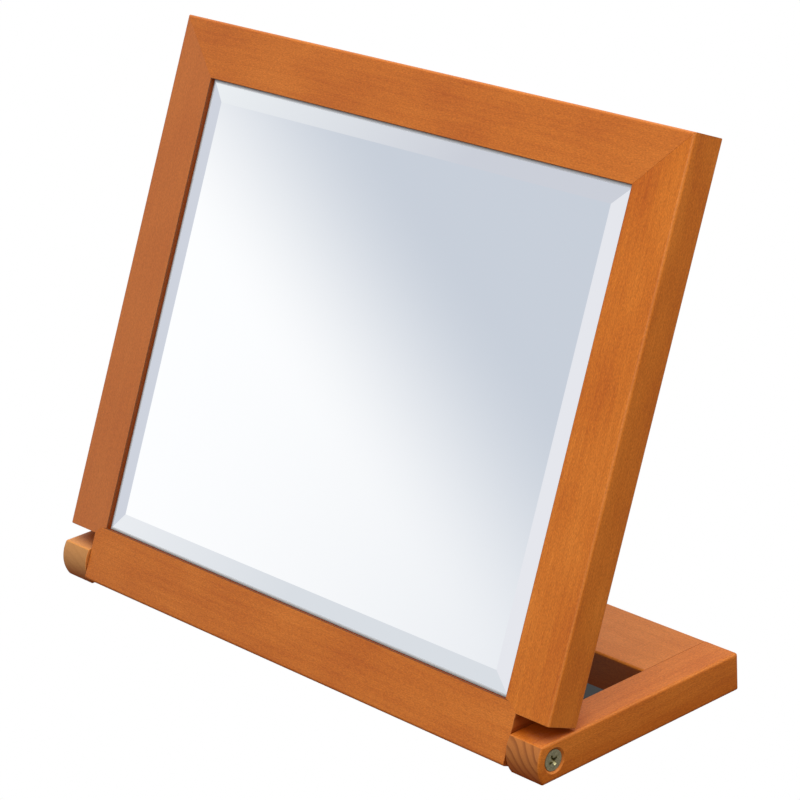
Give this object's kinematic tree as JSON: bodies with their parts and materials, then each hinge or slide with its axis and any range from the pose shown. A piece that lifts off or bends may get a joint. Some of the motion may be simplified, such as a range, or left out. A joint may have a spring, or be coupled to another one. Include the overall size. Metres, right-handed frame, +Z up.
{
  "type": "countertop mirror",
  "caption": "Bevelled mirror in a mitred wooden frame, tilting between the arms of a flat U-shaped wooden base that stands on a counter.",
  "frame": {"origin": "on the table, at the centre of the footprint", "axes": "+X along the hinge axis, to the right seen from the front; +Y towards the back of the base; +Z up; the mirror faces -Y and leans back towards +Y"},
  "size_m": [0.34, 0.1288, 0.2666],
  "materials": {
    "stained_wood": "satin",
    "mirror": "polished",
    "foam": "matte",
    "board": "matte",
    "steel": "satin",
    "yellow_zinc": "satin",
    "washer": "matte",
    "raw_wood": "matte"
  },
  "bodies": {
    "base": {"left_arm": "stained_wood", "right_arm": "stained_wood", "rear_rail": "stained_wood", "left_arm_dowels": "raw_wood", "right_arm_dowels": "raw_wood"},
    "mirror": {"top_rail": "stained_wood", "bottom_rail": "stained_wood", "left_stile": "stained_wood", "right_stile": "stained_wood", "mirror_glass": "mirror", "cushion_sheet": "foam", "backing_board": "board", "glazing_points": "steel", "corner_v_nails": "steel", "left_insert_nut": "yellow_zinc", "right_insert_nut": "yellow_zinc", "left_pivot_screw": "yellow_zinc", "right_pivot_screw": "yellow_zinc", "left_friction_washer": "washer", "right_friction_washer": "washer"}
  },
  "joints": [
    {"name": "mirror_tilt", "type": "hinge", "parent": "base", "child": "mirror", "pos_m": [0, -0.05274, 0.00965], "axis": [1, 0, 0], "range_deg": [-3, 112.5]}
  ]
}
